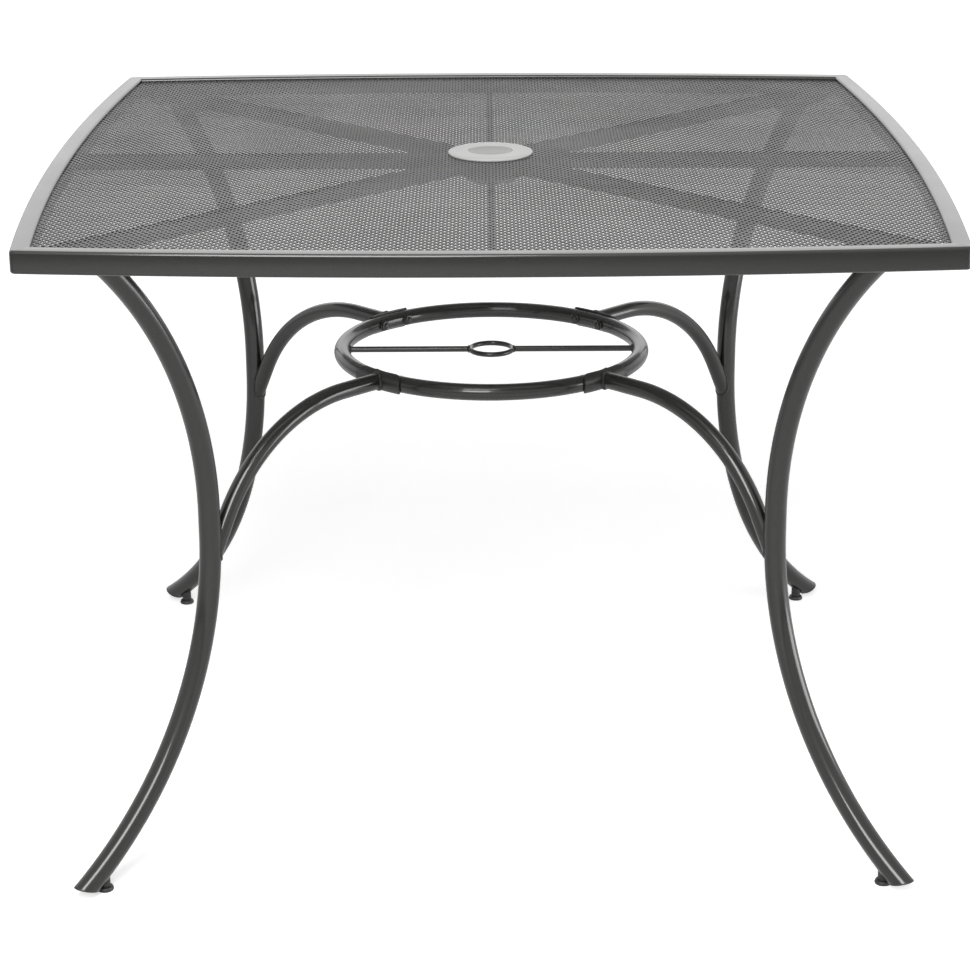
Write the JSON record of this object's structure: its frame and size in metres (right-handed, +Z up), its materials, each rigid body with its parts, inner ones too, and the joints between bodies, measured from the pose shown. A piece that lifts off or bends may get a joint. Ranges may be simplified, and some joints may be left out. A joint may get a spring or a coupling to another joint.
{
  "type": "garden table",
  "caption": "Square steel garden table with a bowed rim, an expanded metal top with a plugged parasol hole, bent tube legs and a braced hoop",
  "frame": {"origin": "on the floor under the centre of the top", "axes": "+Z up, +X to the right-hand side of the table, -Y towards its front"},
  "size_m": [1, 1, 0.73],
  "materials": {
    "frame": "satin",
    "saddle": "satin",
    "mesh": "satin",
    "flange": "satin",
    "plug": "satin",
    "black_plastic": "matte",
    "bolt_steel": "plain",
    "dark_nut": "satin"
  },
  "bodies": {
    "table": {"rim_rail_right": "frame", "rim_rail_back": "frame", "rim_rail_left": "frame", "rim_rail_front": "frame", "hub_collar": "frame", "diagonal_bar_front_left": "frame", "diagonal_bar_front_right": "frame", "diagonal_bar_back_right": "frame", "diagonal_bar_back_left": "frame", "cross_bar_right": "frame", "cross_bar_left": "frame", "stiffener_rod_back": "frame", "stiffener_rod_front": "frame", "leg_front_left": "frame", "leg_front_right": "frame", "leg_back_right": "frame", "leg_back_left": "frame", "leg_plate_front_left": "frame", "leg_plate_front_right": "frame", "leg_plate_back_right": "frame", "leg_plate_back_left": "frame", "hoop_ring": "frame", "brace_front_left": "frame", "brace_front_right": "frame", "brace_back_right": "frame", "brace_back_left": "frame", "cross_rod_right": "frame", "cross_rod_left": "frame", "pole_guide_ring": "frame", "saddle_front_left": "saddle", "saddle_front_right": "saddle", "saddle_back_right": "saddle", "saddle_back_left": "saddle", "mesh_top": "mesh", "parasol_flange": "flange", "flange_ring_nut": "black_plastic", "leg_end_cap_front_left": "black_plastic", "leg_end_cap_front_right": "black_plastic", "leg_end_cap_back_right": "black_plastic", "leg_end_cap_back_left": "black_plastic", "foot_bush_front_left": "black_plastic", "foot_bush_front_right": "black_plastic", "foot_bush_back_right": "black_plastic", "foot_bush_back_left": "black_plastic", "leg_bolts": "bolt_steel", "leg_bolt_nuts": "bolt_steel", "saddle_studs": "bolt_steel", "saddle_cap_nuts": "dark_nut"},
    "plug": {"parasol_plug": "plug"},
    "foot_front_left": {"foot_pad_front_left": "black_plastic"},
    "stud_front_left": {"foot_stud_front_left": "bolt_steel"},
    "foot_front_right": {"foot_pad_front_right": "black_plastic"},
    "stud_front_right": {"foot_stud_front_right": "bolt_steel"},
    "foot_back_right": {"foot_pad_back_right": "black_plastic"},
    "stud_back_right": {"foot_stud_back_right": "bolt_steel"},
    "foot_back_left": {"foot_pad_back_left": "black_plastic"},
    "stud_back_left": {"foot_stud_back_left": "bolt_steel"}
  },
  "joints": [
    {"name": "plug_lift", "type": "slide", "parent": "table", "child": "plug", "axis": [0, 0, 1], "range_m": [0, 0.06]},
    {"name": "foot_slide_front_left", "type": "slide", "parent": "table", "child": "foot_front_left", "axis": [0, 0, -1], "range_m": [0, 0.01]},
    {"name": "stud_turn_front_left", "type": "hinge", "parent": "foot_front_left", "child": "stud_front_left", "pos_m": [-0.42639, -0.42639, 0], "axis": [0, 0, -1], "range_deg": [0, 2880]},
    {"name": "foot_slide_front_right", "type": "slide", "parent": "table", "child": "foot_front_right", "axis": [0, 0, -1], "range_m": [0, 0.01]},
    {"name": "stud_turn_front_right", "type": "hinge", "parent": "foot_front_right", "child": "stud_front_right", "pos_m": [0.42639, -0.42639, 0], "axis": [0, 0, -1], "range_deg": [0, 2880]},
    {"name": "foot_slide_back_right", "type": "slide", "parent": "table", "child": "foot_back_right", "axis": [0, 0, -1], "range_m": [0, 0.01]},
    {"name": "stud_turn_back_right", "type": "hinge", "parent": "foot_back_right", "child": "stud_back_right", "pos_m": [0.42639, 0.42639, 0], "axis": [0, 0, -1], "range_deg": [0, 2880]},
    {"name": "foot_slide_back_left", "type": "slide", "parent": "table", "child": "foot_back_left", "axis": [0, 0, -1], "range_m": [0, 0.01]},
    {"name": "stud_turn_back_left", "type": "hinge", "parent": "foot_back_left", "child": "stud_back_left", "pos_m": [-0.42639, 0.42639, 0], "axis": [0, 0, -1], "range_deg": [0, 2880]}
  ],
  "couplings": [
    {"joint": "stud_turn_front_left", "follows": "foot_slide_front_left", "rad_per_m": 5026.5},
    {"joint": "stud_turn_front_right", "follows": "foot_slide_front_right", "rad_per_m": 5026.5},
    {"joint": "stud_turn_back_right", "follows": "foot_slide_back_right", "rad_per_m": 5026.5},
    {"joint": "stud_turn_back_left", "follows": "foot_slide_back_left", "rad_per_m": 5026.5}
  ]
}
